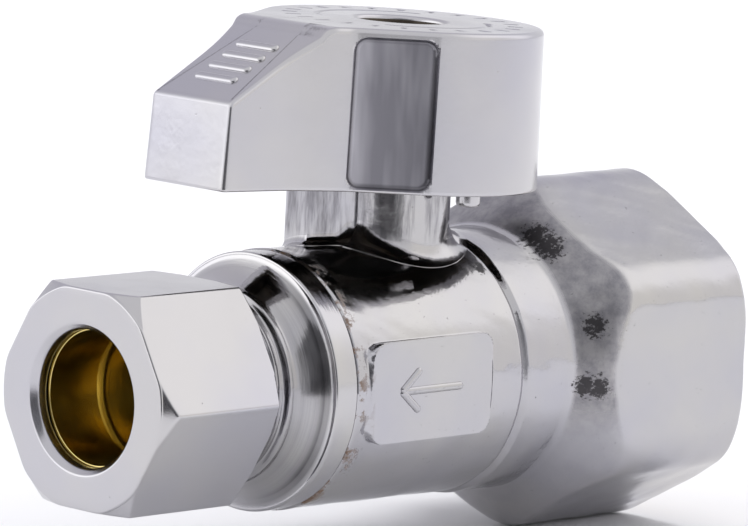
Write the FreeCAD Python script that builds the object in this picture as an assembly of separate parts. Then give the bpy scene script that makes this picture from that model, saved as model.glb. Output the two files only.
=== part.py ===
import FreeCAD, Part
import math
import os

# Straight quarter-turn supply stop: 1/2 in. female pipe inlet, 3/8 in. compression outlet.
# Millimetres. Flow axis along Y, inlet towards +Y, stem up along +Z. The shapes are drawn
# about the ball's centre, and keep() moves them so that the origin is the inlet thread's mouth.

Vec = FreeCAD.Vector
X, Y, Z = Vec(1, 0, 0), Vec(0, 1, 0), Vec(0, 0, 1)

# --- Stations along the flow axis, from the ball's centre ---
inlet_face = 26.7
hex_root = 10.0            # the barrel's ring ends here and the cone to the hexagon starts
groove_y = 4.95
parting_y = -12.35         # outlet connector's flange meets the body here
flange_front = -14.4
thread_back = -17.6
nipple_end = -26.0
nut_back = -19.2
nut_front = -30.65

# --- Body ---
inlet_across_flats = 24.2
inlet_corner_r = 3.9
cone_slope = 0.9           # radius gained per millimetre towards the hexagon
barrel_r = 9.6
ring_r = 9.92
inlet_thread_r = 9.2       # 1/2-14 pipe thread at its minor diameter
inlet_thread_len = 12.6
inlet_mouth_r, mouth_depth = 10.75, 1.55
waterway_r = 3.6
cavity_r = 7.0
cavity_half_len = 7.25
neck_r = 4.35
neck_top = 16.4
neck_fillet = 1.9
pad_len, pad_height, pad_x = 12.6, 7.7, 9.75
pad_mid_y, pad_mid_z = -4.8, 0.15

# --- Stops: pins under the handle meet a tab on the body ---
stop_r = 7.0
pin_r = 0.9
pin_bottom = 12.8
open_pin_angle = 7.0
tab_half_width = 1.75
tab_outer = 8.0
stop_gap = 0.1
tab_offset = math.degrees(math.asin((tab_half_width + pin_r + stop_gap) / stop_r))
tab_angle = open_pin_angle - 90 - tab_offset

# --- Outlet connector, nut and sleeve ---
plug_r = 8.0
running_gap = 0.06
flange_r = 9.5
outlet_thread_r = 7.14     # 9/16-24 crest
tube_socket_r = 4.8        # takes a 3/8 in. (9.525 mm) tube
socket_shoulder = -16.0
shank_r = 7.25             # plain length between the flange and the thread
thread_relief_r = 6.9
mouth_r, mouth_taper_len = 6.0, 2.08
flange_hollow = 1.9        # the flange's front face sinks this far to the shank
seal_groove_r = 6.8
seal_groove_start, seal_groove_end = parting_y + 0.7, parting_y + 2.0
nut_across_flats = 15.875
nut_bore_r = 7.2
nut_hole_r = 4.95
nut_face_r, nut_face_slope = 8.05, math.tan(math.radians(40))
nut_back_r = 8.0
sleeve_r, sleeve_bore_r, sleeve_end_r = 5.65, 4.84, 5.0
sleeve_taper_start, sleeve_back = -26.6, -24.6

# --- Ball, seats and stem ---
ball_r = 6.6
seat_gap = 0.05
seat_inner_r = 3.7
slot_width, slot_floor = 2.6, 4.9
stem_r = 3.0
collar_r, collar_bottom, collar_top = 3.65, 6.85, 7.95
washer_top = 8.5
ring_levels = (10.6, 13.2)
ring_groove_r, ring_section_r = 2.15, 0.4
drive_flats, stem_top = 4.4, 18.9
screw_r = 1.5

# --- Handle ---
rim_z, plateau_z = 14.05, 25.98
hub_r = 10.8
lever_y, lever_half_width = -21.42, 4.15
knee_x, knee_y = 4.4, -15.2        # from here the lever's sides spread towards the hub
flare_x, flare_y = 5.8, -10.7      # and here they stop, at the edge of the hub's flank pocket
draft = math.tan(math.radians(1.6))
nose_lean = 0.3            # how far the lever's end leans back by its top
lever_end_z = 20.41
crest_start, crest_middle, crest_end = (-12.9, 25.18), (-12.2, 25.55), (-11.4, 25.79)
nose_up = 2.0              # the handle's skin is set this many degrees nose-up on its stem
tilt_centre = Vec(0, 0, 19.5)
wall = 1.6
boss_r, boss_bottom = 4.7, 16.9
recess_r, recess_floor = 3.45, 20.6
socket_top = 19.1
scallop_depth = 0.55       # below the straight line between its two edges
hub_start_angle = -30.0    # the flank pocket ends here and the hub's circle starts
scallop_lip = 0.45


def revolved(points, axis):
    """Turn an (r, station) outline about the Y or Z axis."""
    corners = [Vec(r, s, 0) if axis == Y else Vec(r, 0, s) for r, s in points]
    outline = Part.makePolygon(corners + corners[:1])
    return Part.Face(outline).revolve(Vec(0, 0, 0), axis, 360)


def rod_y(radius, start, end):
    return Part.makeCylinder(radius, end - start, Vec(0, start, 0), Y)


def rod_z(radius, bottom, top, x=0.0, y=0.0):
    return Part.makeCylinder(radius, top - bottom, Vec(x, y, bottom), Z)


def block(low, high):
    return Part.makeBox(high[0] - low[0], high[1] - low[1], high[2] - low[2], Vec(*low))


def edges_along(shape, direction):
    """Straight edges of a shape that run along a direction."""
    chosen = []
    for edge in shape.Edges:
        if isinstance(edge.Curve, Part.Line) and abs(edge.tangentAt(0).dot(direction)) > 0.999:
            chosen.append(edge)
    return chosen


def hexagon_y(across_flats, start, end, first_corner):
    """Hexagonal prism along Y; first_corner is one corner's angle from +X."""
    radius = across_flats / math.sqrt(3)
    angles = [math.radians(first_corner + 60 * i) for i in range(6)]
    corners = [Vec(radius * math.cos(a), start, radius * math.sin(a)) for a in angles]
    face = Part.Face(Part.makePolygon(corners + corners[:1]))
    return face.extrude(Y * (end - start))


def valve_body():
    barrel = revolved([(0, parting_y), (barrel_r - 0.25, parting_y), (barrel_r, parting_y + 0.25),
                       (9.74, groove_y - 0.35), (9.6, groove_y), (ring_r, groove_y + 0.35),
                       (ring_r, hex_root + 0.5), (0, hex_root + 0.5)], Y)
    tip_r = inlet_across_flats / math.sqrt(3) + 0.6
    cone_len = (tip_r - ring_r) / cone_slope
    envelope = revolved([(0, hex_root - 0.5), (ring_r, hex_root - 0.5), (ring_r, hex_root),
                         (tip_r, hex_root + cone_len), (tip_r, inlet_face - 1.08),
                         (12.75, inlet_face), (0, inlet_face)], Y)
    prism = hexagon_y(inlet_across_flats, hex_root - 1, inlet_face + 1, 90)
    prism = prism.makeFillet(inlet_corner_r, edges_along(prism, Y))
    barrel_and_neck = barrel.fuse(rod_z(neck_r, 0, neck_top)).removeSplitter()
    saddle = [e for e in barrel_and_neck.Edges
              if e.BoundBox.ZMax < 10.2 and e.BoundBox.ZMin > 7 and e.BoundBox.YMax < neck_r + 0.1
              and e.BoundBox.YMin > -neck_r - 0.1]
    barrel_and_neck = barrel_and_neck.makeFillet(neck_fillet, saddle)
    outside = barrel_and_neck.fuse([prism.common(envelope), stop_tab()] + side_pads())
    return outside.cut(body_bores()).removeSplitter()


def stop_tab():
    tab = block((3.6, -tab_half_width, 6), (tab_outer, tab_half_width, neck_top - 0.2))
    tab = tab.makeFillet(0.5, edges_along(tab, Z))
    tab.rotate(Vec(0, 0, 0), Z, tab_angle)
    return tab


def side_pads():
    low = (6.0, pad_mid_y - pad_len / 2, pad_mid_z - pad_height / 2)
    high = (pad_x, pad_mid_y + pad_len / 2, pad_mid_z + pad_height / 2)
    pad = block(low, high)
    pad = pad.makeFillet(1.2, edges_along(pad, X))
    return [pad, pad.mirror(Vec(0, 0, 0), X)]


def body_bores():
    """Everything that is cut from the body, as one list of tools."""
    thread_mouth = inlet_face - mouth_depth
    thread_start = thread_mouth - inlet_thread_len
    inlet = revolved([(0, hex_root - 1), (waterway_r, thread_start - 3.2),
                      (inlet_thread_r, thread_start), (inlet_thread_r, thread_mouth),
                      (inlet_mouth_r, inlet_face), (inlet_mouth_r, inlet_face + 1),
                      (0, inlet_face + 1)], Y)
    tools = [inlet, rod_y(waterway_r, 0, inlet_face - 5),
             rod_y(cavity_r, parting_y - 1, cavity_half_len),
             rod_y(plug_r + running_gap, parting_y - 1, -cavity_half_len),
             rod_z(stem_r + 0.05, 0, neck_top + 1),
             rod_z(collar_r + 0.1, 0, washer_top)]
    return tools


def outlet_connector():
    turns = [math.radians(a) for a in (20, 40, 60, 78)]
    hollow_face = [(flange_r - 2.2 * math.sin(t), flange_front - flange_hollow * (1 - math.cos(t)))
                   for t in turns]
    outside = revolved(
        [(0, -cavity_half_len - 0.05), (plug_r, -cavity_half_len - 0.05), (plug_r, seal_groove_end),
         (seal_groove_r, seal_groove_end), (seal_groove_r, seal_groove_start), (plug_r, seal_groove_start),
         (plug_r, parting_y),
         (flange_r - 0.2, parting_y), (flange_r, parting_y - 0.2), (flange_r, flange_front + 0.25),
         (flange_r - 0.25, flange_front)] + hollow_face +
        [(shank_r, flange_front - flange_hollow), (shank_r, thread_back + 0.7),
         (thread_relief_r, thread_back + 0.5), (thread_relief_r, thread_back),
         (outlet_thread_r, thread_back - 0.25), (outlet_thread_r, nipple_end + 0.6),
         (outlet_thread_r - 0.55, nipple_end), (0, nipple_end)], Y)
    mouth = revolved([(0, nipple_end), (mouth_r, nipple_end), (tube_socket_r, nipple_end + mouth_taper_len),
                      (tube_socket_r, socket_shoulder), (0, socket_shoulder)], Y)
    return outside.cut([mouth, rod_y(waterway_r, nipple_end, 0)])


def connector_o_ring():
    ring = Part.makeTorus(7.38, 0.55, Vec(0, parting_y + 1.35, 0), Y)
    return ring


def seat(side):
    """Ring with a spherical face that holds the ball; side is +1 at the inlet."""
    start, end = sorted((side * 4.0, side * (cavity_half_len - 0.03)))
    ring = rod_y(cavity_r - 0.05, start, end)
    return ring.cut([rod_y(seat_inner_r, start - 1, end + 1), Part.makeSphere(ball_r + seat_gap)])


def ball():
    slot = block((-ball_r, -slot_width / 2, slot_floor), (ball_r, slot_width / 2, ball_r + 1))
    return Part.makeSphere(ball_r).cut([rod_y(waterway_r, -ball_r - 1, ball_r + 1), slot])


def stem():
    half_tang = slot_width / 2 - 0.05
    tang = block((-3.0, -half_tang, slot_floor + 0.08), (3.0, half_tang, collar_bottom + 0.2))
    tang = tang.common(rod_z(collar_r, 0, 12))
    collar = rod_z(collar_r, collar_bottom, collar_top)
    shank = rod_z(stem_r, collar_top, neck_top + 0.3)
    grooves = []
    for level in ring_levels:
        low, high = level - 0.65, level + 0.65
        grooves.append(rod_z(stem_r + 1, low, high).cut(rod_z(ring_groove_r, low, high)))
    half = drive_flats / 2
    drive = block((-half, -half, neck_top), (half, half, stem_top)).common(rod_z(stem_r, neck_top, stem_top))
    screw_hole = rod_z(screw_r + 0.05, 11.8, stem_top + 1)
    return tang.fuse([collar, shank, drive]).cut(grooves + [screw_hole]).removeSplitter()


def stem_o_ring(level):
    return Part.makeTorus(ring_groove_r + ring_section_r + 0.02, ring_section_r, Vec(0, 0, level), Z)


def stem_washer():
    return rod_z(collar_r, collar_top + 0.02, washer_top - 0.02).cut(rod_z(stem_r + 0.04, 0, 20))


def mitred(before, corner, after, offset):
    """A corner of an outline that runs counter-clockwise, when both its sides move in by offset."""
    normals = []
    for side in (corner - before, after - corner):
        normals.append(Vec(side.y, -side.x, 0).normalize())
    both = normals[0] + normals[1]
    return corner - both * (offset / (1 + normals[0].dot(normals[1])))


def on_hub(radius):
    angle = math.radians(hub_start_angle)
    return Vec(radius * math.cos(angle), radius * math.sin(angle), 0)


def handle_outline(offset, z, lean):
    """Plan of the handle: a round hub, and a lever that spreads from its flat end to the hub's flanks."""
    middle, corner = Vec(0, lever_y + lean, 0), Vec(lever_half_width, lever_y + lean, 0)
    knee, flare = Vec(knee_x, knee_y, 0), Vec(flare_x, flare_y, 0)
    right = [mitred(middle, corner, knee, offset), mitred(corner, knee, flare, offset),
             mitred(knee, flare, on_hub(hub_r), offset), on_hub(hub_r - offset)]
    left = [Vec(-p.x, p.y, 0) for p in reversed(right)]
    edges = [Part.Arc(right[-1], Vec(0, hub_r - offset, 0), left[0]).toShape()]
    path = left + right
    edges += [Part.makeLine(a, b) for a, b in zip(path[:-1], path[1:])]
    wire = Part.Wire(edges)
    wire.translate(Vec(0, 0, z))
    return wire


def above_lever_slope(drop):
    """What lies above the lever's top, lowered by drop: a straight slope, then a rounded crest."""
    start, middle, end = [Vec(-20, y, z - drop) for y, z in (crest_start, crest_middle, crest_end)]
    tip = Vec(-20, lever_y + nose_lean, lever_end_z - drop)
    beyond = tip + (tip - start) * 0.5
    up = Vec(0, 0, 20)
    edges = [Part.Arc(end, middle, start).toShape(), Part.makeLine(start, beyond),
             Part.makeLine(beyond, beyond + up), Part.makeLine(beyond + up, end + up),
             Part.makeLine(end + up, end)]
    return Part.Face(Part.Wire(edges)).extrude(X * 40)


def handle_block(offset, drop, below):
    """The handle's full shape, shrunk by offset in plan and drop in height, from below the rim."""
    bottom = rim_z - below
    height = plateau_z - bottom
    top_inset = offset + draft * height
    end_lean = nose_lean * height / (lever_end_z - rim_z) - draft * height
    lower = handle_outline(offset, bottom, 0)
    upper = handle_outline(top_inset, plateau_z, end_lean)
    whole = Part.makeLoft([lower, upper], True, True)
    shelf = block((-20, crest_end[0], crest_end[1] - drop), (20, 0, 40))
    lowered = above_lever_slope(drop).fuse(shelf).cut(rod_z(hub_r - top_inset, 0, 60))
    whole = whole.cut([lowered, block((-20, -30, plateau_z - drop), (20, 20, 60))])
    return whole.rotate(tilt_centre, X, -nose_up)


def scallop_cutters():
    """Shallow hollow pocket in each flank of the hub, just short of the rim and the top."""
    flare, hub_start = Vec(flare_x, flare_y, 0), on_hub(hub_r)
    chord = hub_start - flare
    radius = (chord.Length ** 2 / 4 + scallop_depth ** 2) / (2 * scallop_depth)
    outward = Vec(chord.y, -chord.x, 0).normalize()
    centre = (flare + hub_start) * 0.5 + outward * (radius - scallop_depth)
    cutter = rod_z(radius, rim_z + scallop_lip, plateau_z - scallop_lip, centre.x, centre.y)
    cutter = cutter.makeFillet(0.9, [e for e in cutter.Edges if isinstance(e.Curve, Part.Circle)])
    cutter.rotate(tilt_centre, X, -nose_up)
    return [cutter, cutter.mirror(Vec(0, 0, 0), X)]


def stop_pins():
    pins = []
    for angle in (open_pin_angle, tab_angle - tab_offset):
        a = math.radians(angle)
        pin = rod_z(pin_r, pin_bottom, plateau_z - 1, stop_r * math.cos(a), stop_r * math.sin(a))
        low_edge = [e for e in pin.Edges if e.BoundBox.ZMax < pin_bottom + 0.1]
        pins.append(pin.makeFillet(0.35, low_edge))
    return pins


def handle():
    outside = handle_block(0, 0, 0).cut(scallop_cutters())
    hollow = handle_block(wall, wall + 0.2, 1)
    boss = rod_z(boss_r, boss_bottom, plateau_z - 1)
    half = drive_flats / 2 + 0.05
    drive_socket = block((-half, -half, boss_bottom - 1), (half, half, socket_top))
    bores = [rod_z(recess_r, recess_floor, plateau_z + 1), rod_z(screw_r + 0.4, boss_bottom, plateau_z),
             drive_socket]
    shell = outside.cut(hollow).fuse([boss] + stop_pins())
    return shell.cut(bores).removeSplitter()


def handle_screw():
    head_bottom = recess_floor + 0.8
    head = rod_z(2.8, head_bottom, head_bottom + 1.9)
    head = head.makeFillet(0.7, [e for e in head.Edges if e.BoundBox.ZMin > head_bottom + 1])
    cross = [block((-1.7, -0.35, head_bottom + 0.9), (1.7, 0.35, 40)),
             block((-0.35, -1.7, head_bottom + 0.9), (0.35, 1.7, 40))]
    return head.fuse(rod_z(screw_r, 12.4, head_bottom)).cut(cross).removeSplitter()


def handle_lock_washer():
    ring = rod_z(2.9, recess_floor + 0.02, recess_floor + 0.78).cut(rod_z(screw_r + 0.1, 0, 40))
    return ring.cut(block((0, -0.3, 0), (5, 0.3, 40)))


def compression_nut():
    tip_r = nut_across_flats / math.sqrt(3) + 0.4
    shoulder = (tip_r - nut_face_r) * nut_face_slope
    back_shoulder = (tip_r - nut_back_r) * math.tan(math.radians(30))
    envelope = revolved([(0, nut_front), (nut_face_r, nut_front), (tip_r, nut_front + shoulder),
                         (tip_r, nut_back - back_shoulder), (nut_back_r, nut_back), (0, nut_back)], Y)
    prism = hexagon_y(nut_across_flats, nut_front - 1, nut_back + 1, 0)
    prism = prism.makeFillet(0.35, edges_along(prism, Y))
    inside = revolved([(0, nut_front), (nut_hole_r + 0.55, nut_front), (nut_hole_r + 0.16, nut_front + 0.16),
                       (nut_hole_r, nut_front + 0.55), (nut_hole_r, nut_front + 1.2),
                       (nut_bore_r, nut_front + 3.4), (nut_bore_r, nut_back - 0.4),
                       (nut_bore_r + 0.4, nut_back), (0, nut_back)], Y)
    return prism.common(envelope).cut(inside)


def compression_sleeve():
    """Ring that grips the tube; both ends taper."""
    front = nut_front + 1.45
    return revolved([(sleeve_bore_r, front), (sleeve_end_r + 0.1, front), (sleeve_r, front + 0.8),
                     (sleeve_r, sleeve_taper_start), (sleeve_end_r, sleeve_back),
                     (sleeve_bore_r, sleeve_back)], Y)


def keep(name, shape):
    """Write one solid, moved so that the inlet thread's full wall starts at y = 0."""
    shape = shape.copy()
    shape.translate(Y * (mouth_depth - inlet_face))
    solids = shape.Solids
    assert shape.isValid() and len(solids) == 1, name
    solids[0].exportStep("parts/" + name + ".step")
    print(name, round(shape.Volume, 1))


def build():
    os.makedirs("parts", exist_ok=True)
    keep("valve_body", valve_body())
    keep("outlet_connector", outlet_connector())
    keep("connector_o_ring", connector_o_ring())
    keep("inlet_seat", seat(1))
    keep("outlet_seat", seat(-1))
    keep("ball", ball())
    keep("stem", stem())
    keep("stem_thrust_washer", stem_washer())
    keep("lower_stem_o_ring", stem_o_ring(ring_levels[0]))
    keep("upper_stem_o_ring", stem_o_ring(ring_levels[1]))
    keep("handle", handle())
    keep("handle_screw", handle_screw())
    keep("handle_lock_washer", handle_lock_washer())
    keep("compression_nut", compression_nut())
    keep("compression_sleeve", compression_sleeve())


build()
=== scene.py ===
import math
import bpy
import numpy as np
from mathutils import Matrix, Vector


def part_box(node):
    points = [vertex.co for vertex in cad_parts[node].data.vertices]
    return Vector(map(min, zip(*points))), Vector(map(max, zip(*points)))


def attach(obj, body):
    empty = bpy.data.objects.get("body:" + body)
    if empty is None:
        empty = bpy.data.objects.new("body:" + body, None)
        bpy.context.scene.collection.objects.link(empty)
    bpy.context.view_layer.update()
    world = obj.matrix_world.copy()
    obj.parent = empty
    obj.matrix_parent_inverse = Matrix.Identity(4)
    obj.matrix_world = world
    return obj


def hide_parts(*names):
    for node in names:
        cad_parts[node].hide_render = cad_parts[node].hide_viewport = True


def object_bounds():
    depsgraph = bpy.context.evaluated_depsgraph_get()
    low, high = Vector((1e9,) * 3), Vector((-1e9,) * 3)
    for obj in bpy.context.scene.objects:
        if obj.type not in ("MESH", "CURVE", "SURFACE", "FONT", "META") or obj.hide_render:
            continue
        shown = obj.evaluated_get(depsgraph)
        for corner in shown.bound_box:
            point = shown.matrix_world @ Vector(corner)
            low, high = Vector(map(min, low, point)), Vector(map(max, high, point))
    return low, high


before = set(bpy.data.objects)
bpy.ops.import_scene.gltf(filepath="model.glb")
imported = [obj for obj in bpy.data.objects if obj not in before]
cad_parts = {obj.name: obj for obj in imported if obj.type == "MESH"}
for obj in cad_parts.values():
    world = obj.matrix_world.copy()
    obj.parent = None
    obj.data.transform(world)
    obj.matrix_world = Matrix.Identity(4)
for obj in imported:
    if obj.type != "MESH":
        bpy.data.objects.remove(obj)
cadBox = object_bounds()
print("frame loaded")

# Shapes are worked out in millimetres about the ball's centre, where the stem's axis crosses the flow axis.
# The flow axis is Y with the inlet at +Y, and the stem stands up along Z.
mm = 0.001
stemLow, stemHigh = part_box("stem")
ballY = (stemLow.y + stemHigh.y) / 2 / mm


def stationsOf(node):  # a node's lowest and highest corner, in millimetres about the ball's centre
    low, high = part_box(node)
    shift = np.array([0, ballY, 0])
    return np.array(low) / mm - shift, np.array(high) / mm - shift


bodyLow, bodyHigh = stationsOf("valve_body")
nutLow, nutHigh = stationsOf("compression_nut")
sleeveLow, sleeveHigh = stationsOf("compression_sleeve")
partingY, inletY, neckTop = bodyLow[1], bodyHigh[1], bodyHigh[2]
nippleY = stationsOf("outlet_connector")[0][1]
nutFront, nutBack = nutLow[1], nutHigh[1]


def smoothStep(low, high, value):  # 0 below low, 1 above high, and the cubic 3t^2 - 2t^3 between
    t = np.clip((value - low) / (high - low), 0, 1)
    return t * t * (3 - 2 * t)


def softMin(a, b, width):  # the smaller of two, with a parabola where they are within width of each other
    share = np.clip(0.5 + 0.5 * (b - a) / width, 0, 1)
    return b * (1 - share) + a * share - width * share * (1 - share)


def softMax(a, b, width):  # the larger of two, rounded the same way
    return -softMin(-a, -b, width)


def clustered(start, end, count, spots, width, strength):
    # count samples from start to end, closer together near the spots: evenly spaced in the running sum
    # of a density of 1 plus strength times a bell curve about each spot
    fine = np.linspace(start, end, 6001)
    density = 1 + sum(strength * np.exp(-((fine - spot) / width) ** 2) for spot in spots)
    running = np.concatenate([[0], np.cumsum((density[1:] + density[:-1]) / 2)])
    return np.interp(np.linspace(0, running[-1], count), running, fine)


def boxDistance(u, v, halfU, halfV, corner):  # signed distance to a rounded rectangle, negative inside
    du = np.abs(u) - halfU + corner
    dv = np.abs(v) - halfV + corner
    return np.hypot(np.maximum(du, 0), np.maximum(dv, 0)) + np.minimum(np.maximum(du, dv), 0) - corner


def turnGroove(angle, station, pitch):
    # a right-hand thread's section, 0 on the crests and 1 in the roots: a triangle wave of station / pitch
    # plus one turn of angle, with its crests and roots cut flat
    phase = (station / pitch + angle / (2 * math.pi)) % 1
    return np.clip(1.35 * np.abs(2 * phase - 1) - 0.18, 0, 1)


def casting(x, y, z, size):
    # how far a cast skin sinks, from 0 to size: products of sines of three directions, where slower sines
    # first bend the directions so that the waves don't line up
    u = x + 1.1 * np.sin(0.53 * y + 0.31 * z) + 0.5 * np.sin(1.37 * z - 0.41 * x)
    v = y + 1.2 * np.sin(0.47 * z + 0.39 * x + 1.7) + 0.4 * np.sin(1.21 * x + 0.5 * y)
    w = z + 1.0 * np.sin(0.61 * x - 0.29 * y + 0.8)
    broad = np.sin(0.83 * u + 0.47 * w + 1.1) * np.sin(0.71 * v - 0.33 * u)
    small = np.sin(1.7 * u - 1.1 * w + 0.6) * np.sin(1.3 * v + 0.7 * w)
    return size * (0.5 + 0.32 * broad + 0.14 * small)


def aroundY(radius, angle, station):  # a point at an angle from +X towards +Z, about the flow axis
    radius, angle, station = np.broadcast_arrays(radius, angle, station)
    return np.stack([radius * np.cos(angle), station, radius * np.sin(angle)], axis=-1)


def aroundZ(radius, angle, height, centre=(0.0, 0.0)):  # the same about an upright axis
    radius, angle, height = np.broadcast_arrays(radius, angle, height)
    x, y = centre[0] + radius * np.cos(angle), centre[1] + radius * np.sin(angle)
    return np.stack([x, y, height], axis=-1)


def hexagonRadius(angle, halfFlats, corner, firstCorner):
    # distance from the centre to a rounded hexagon: halfFlats / cos on a flat, and on a corner the far side
    # of a circle set in along the corner's direction
    folded = np.abs((angle - firstCorner + math.pi / 6) % (math.pi / 3) - math.pi / 6)
    setIn = (halfFlats - corner) / math.cos(math.pi / 6)
    flat = halfFlats / np.cos(math.pi / 6 - folded)
    circle = setIn * np.cos(folded) + np.sqrt(np.maximum(corner ** 2 - (setIn * np.sin(folded)) ** 2, 0))
    touch = math.atan2(corner * 0.5, setIn + corner * math.cos(math.pi / 6))
    return np.where(folded < touch, circle, flat)


def roundedOutline(points, step):
    # an (r, station) outline through (r, station, corner radius) points: each corner is a quadratic curve
    # from one side to the other that leaves and joins the sides a corner radius from the point; step is the
    # spacing
    flat = np.array([p[:2] for p in points], float)
    reach = np.array([p[2] for p in points], float)
    kept = []
    for i, here in enumerate(flat):
        if i in (0, len(flat) - 1) or reach[i] == 0:
            kept.append(here[None])
            continue
        before, after = flat[i - 1] - here, flat[i + 1] - here
        leave = here + before / np.linalg.norm(before) * reach[i]
        join = here + after / np.linalg.norm(after) * reach[i]
        t = np.linspace(0, 1, 7)[:, None]
        kept.append((1 - t) ** 2 * leave + 2 * t * (1 - t) * here + t ** 2 * join)
    corners = np.concatenate(kept)
    filled = []
    for a, b in zip(corners[:-1], corners[1:]):
        count = max(1, int(np.linalg.norm(b - a) / step))
        filled.append(a + (b - a) * np.arange(count)[:, None] / count)
    return np.concatenate(filled + [corners[-1:]])


def raisedBar(middle, along, across, halfLength, halfWidth, height):
    # a plain straight bar with a round top that stands on a plane: flat rounded-rectangle rings, first sunk
    # in the plane and then rising along its normal by a quarter circle while they narrow to the bar's
    # middle line
    turn = np.linspace(-math.pi, math.pi, 56, endpoint=False)
    middle, along, across = (np.array(v, float) for v in (middle, along, across))
    normal = np.cross(along, across)
    bends = np.linspace(0, 0.96, 8) * math.pi / 2
    steps = [(math.cos(b), height * math.sin(b)) for b in bends]
    steps = [(1, -0.3)] + steps + [(0.01, height), (0.01, -0.3)]
    rings = []
    for grow, rise in steps:
        u = (halfLength - halfWidth) * np.sign(np.cos(turn)) + halfWidth * grow * np.cos(turn)
        v = halfWidth * grow * np.sin(turn)
        rings.append(middle + u[:, None] * along + v[:, None] * across + rise * normal)
    return np.array(rings)


def addObject(name, data):  # a new object at the origin, linked to the scene
    thing = bpy.data.objects.new(name, data)
    bpy.context.scene.collection.objects.link(thing)
    return thing


def makePiece(name, shells, materials):
    # one mesh from closed grids of points, in millimetres about the ball's centre. Each grid joins up both
    # ways, like a tyre. Its faces are turned outwards by the sign of its volume. shells holds (points, slot
    # per ring)
    allPoints, allFaces, allSlots, start = [], [], [], 0
    for points, slots in shells:
        rings, columns = points.shape[:2]
        index = np.arange(rings * columns).reshape(rings, columns)
        beside, nextRing = np.roll(index, -1, axis=1), np.roll(index, -1, axis=0)
        quads = np.stack([index, beside, np.roll(nextRing, -1, axis=1), nextRing], axis=-1)
        quads = quads.reshape(-1, 4)
        flat = points.reshape(-1, 3)
        a, b, c, d = (flat[quads[:, k]] for k in range(4))
        volume = np.sum(a * (np.cross(b, c) + np.cross(c, d)))
        if volume < 0:
            quads = quads[:, ::-1]
        allPoints.append(flat)
        allFaces.append(quads + start)
        allSlots.append(np.repeat(np.broadcast_to(slots, rings), columns))
        start += len(flat)
    points = (np.concatenate(allPoints) + np.array([0, ballY, 0])) * mm
    mesh = bpy.data.meshes.new(name)
    mesh.from_pydata(points, [], np.concatenate(allFaces).tolist())
    for material in materials:
        mesh.materials.append(material)
    mesh.polygons.foreach_set("material_index", np.concatenate(allSlots).astype(np.int32))
    mesh.polygons.foreach_set("use_smooth", np.ones(len(mesh.polygons), bool))
    mesh.set_sharp_from_angle(angle=math.radians(38))
    mesh.update()
    return addObject(name, mesh)


def joinNodes(material):
    # a short way to add a node: kind, settings by name and inputs by socket name, where an input may be a
    # value or another node's output
    tree = material.node_tree

    def add(kind, settings=None, **inputs):
        node = tree.nodes.new("ShaderNode" + kind)
        for key, value in (settings or {}).items():
            setattr(node, key, value)
        for key, value in inputs.items():
            socket = node.inputs[int(key[1:])] if key[0] == "i" and key[1:].isdigit() else node.inputs[key]
            if isinstance(value, bpy.types.NodeSocket):
                tree.links.new(value, socket)
            else:
                socket.default_value = value
        return node
    return tree, add


def newFinish(name):
    material = bpy.data.materials.new(name)
    material.use_nodes = True
    tree, add = joinNodes(material)
    tree.nodes.clear()
    shader = add("BsdfPrincipled")
    tree.links.new(shader.outputs[0], add("OutputMaterial").inputs[0])
    place = add("TexCoord").outputs["Object"]
    return material, tree, add, shader, place


def remap(add, value, fromLow, fromHigh, toLow, toHigh, kind="LINEAR"):
    node = add("MapRange", {"interpolation_type": kind})
    node.inputs["From Min"].default_value = fromLow
    node.inputs["From Max"].default_value = fromHigh
    node.inputs["To Min"].default_value = toLow
    node.inputs["To Max"].default_value = toHigh
    node.id_data.links.new(value, node.inputs["Value"])
    return node.outputs[0]


def remapMm(add, value, ends, toLow, toHigh):  # the same between two places in millimetres
    return remap(add, value, ends[0] * mm, ends[1] * mm, toLow, toHigh)


def times(add, a, b):
    return add("Math", {"operation": "MULTIPLY"}, i0=a, i1=b).outputs[0]


def larger(add, a, b):
    return add("Math", {"operation": "MAXIMUM"}, i0=a, i1=b).outputs[0]


def mixed(add, share, a, b):
    node = add("Mix", {"data_type": "RGBA"})
    for socket, value in ((0, share), (6, a), (7, b)):
        if isinstance(value, bpy.types.NodeSocket):
            node.id_data.links.new(value, node.inputs[socket])
        else:
            node.inputs[socket].default_value = value if socket == 0 else (*value, 1)
    return node.outputs[2]


def noise(add, place, scale, detail=2.0, rough=0.5, stretch=None):
    if stretch is not None:
        place = add("Mapping", Vector=place, Scale=stretch).outputs[0]
    return add("TexNoise", Vector=place, Scale=scale, Detail=detail, Roughness=rough).outputs["Fac"]


def relief(add, height, strength, distance, under=None):
    node = add("Bump", Strength=strength, Distance=distance, Height=height)
    if under is not None:
        node.id_data.links.new(under, node.inputs["Normal"])
    return node.outputs[0]


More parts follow.
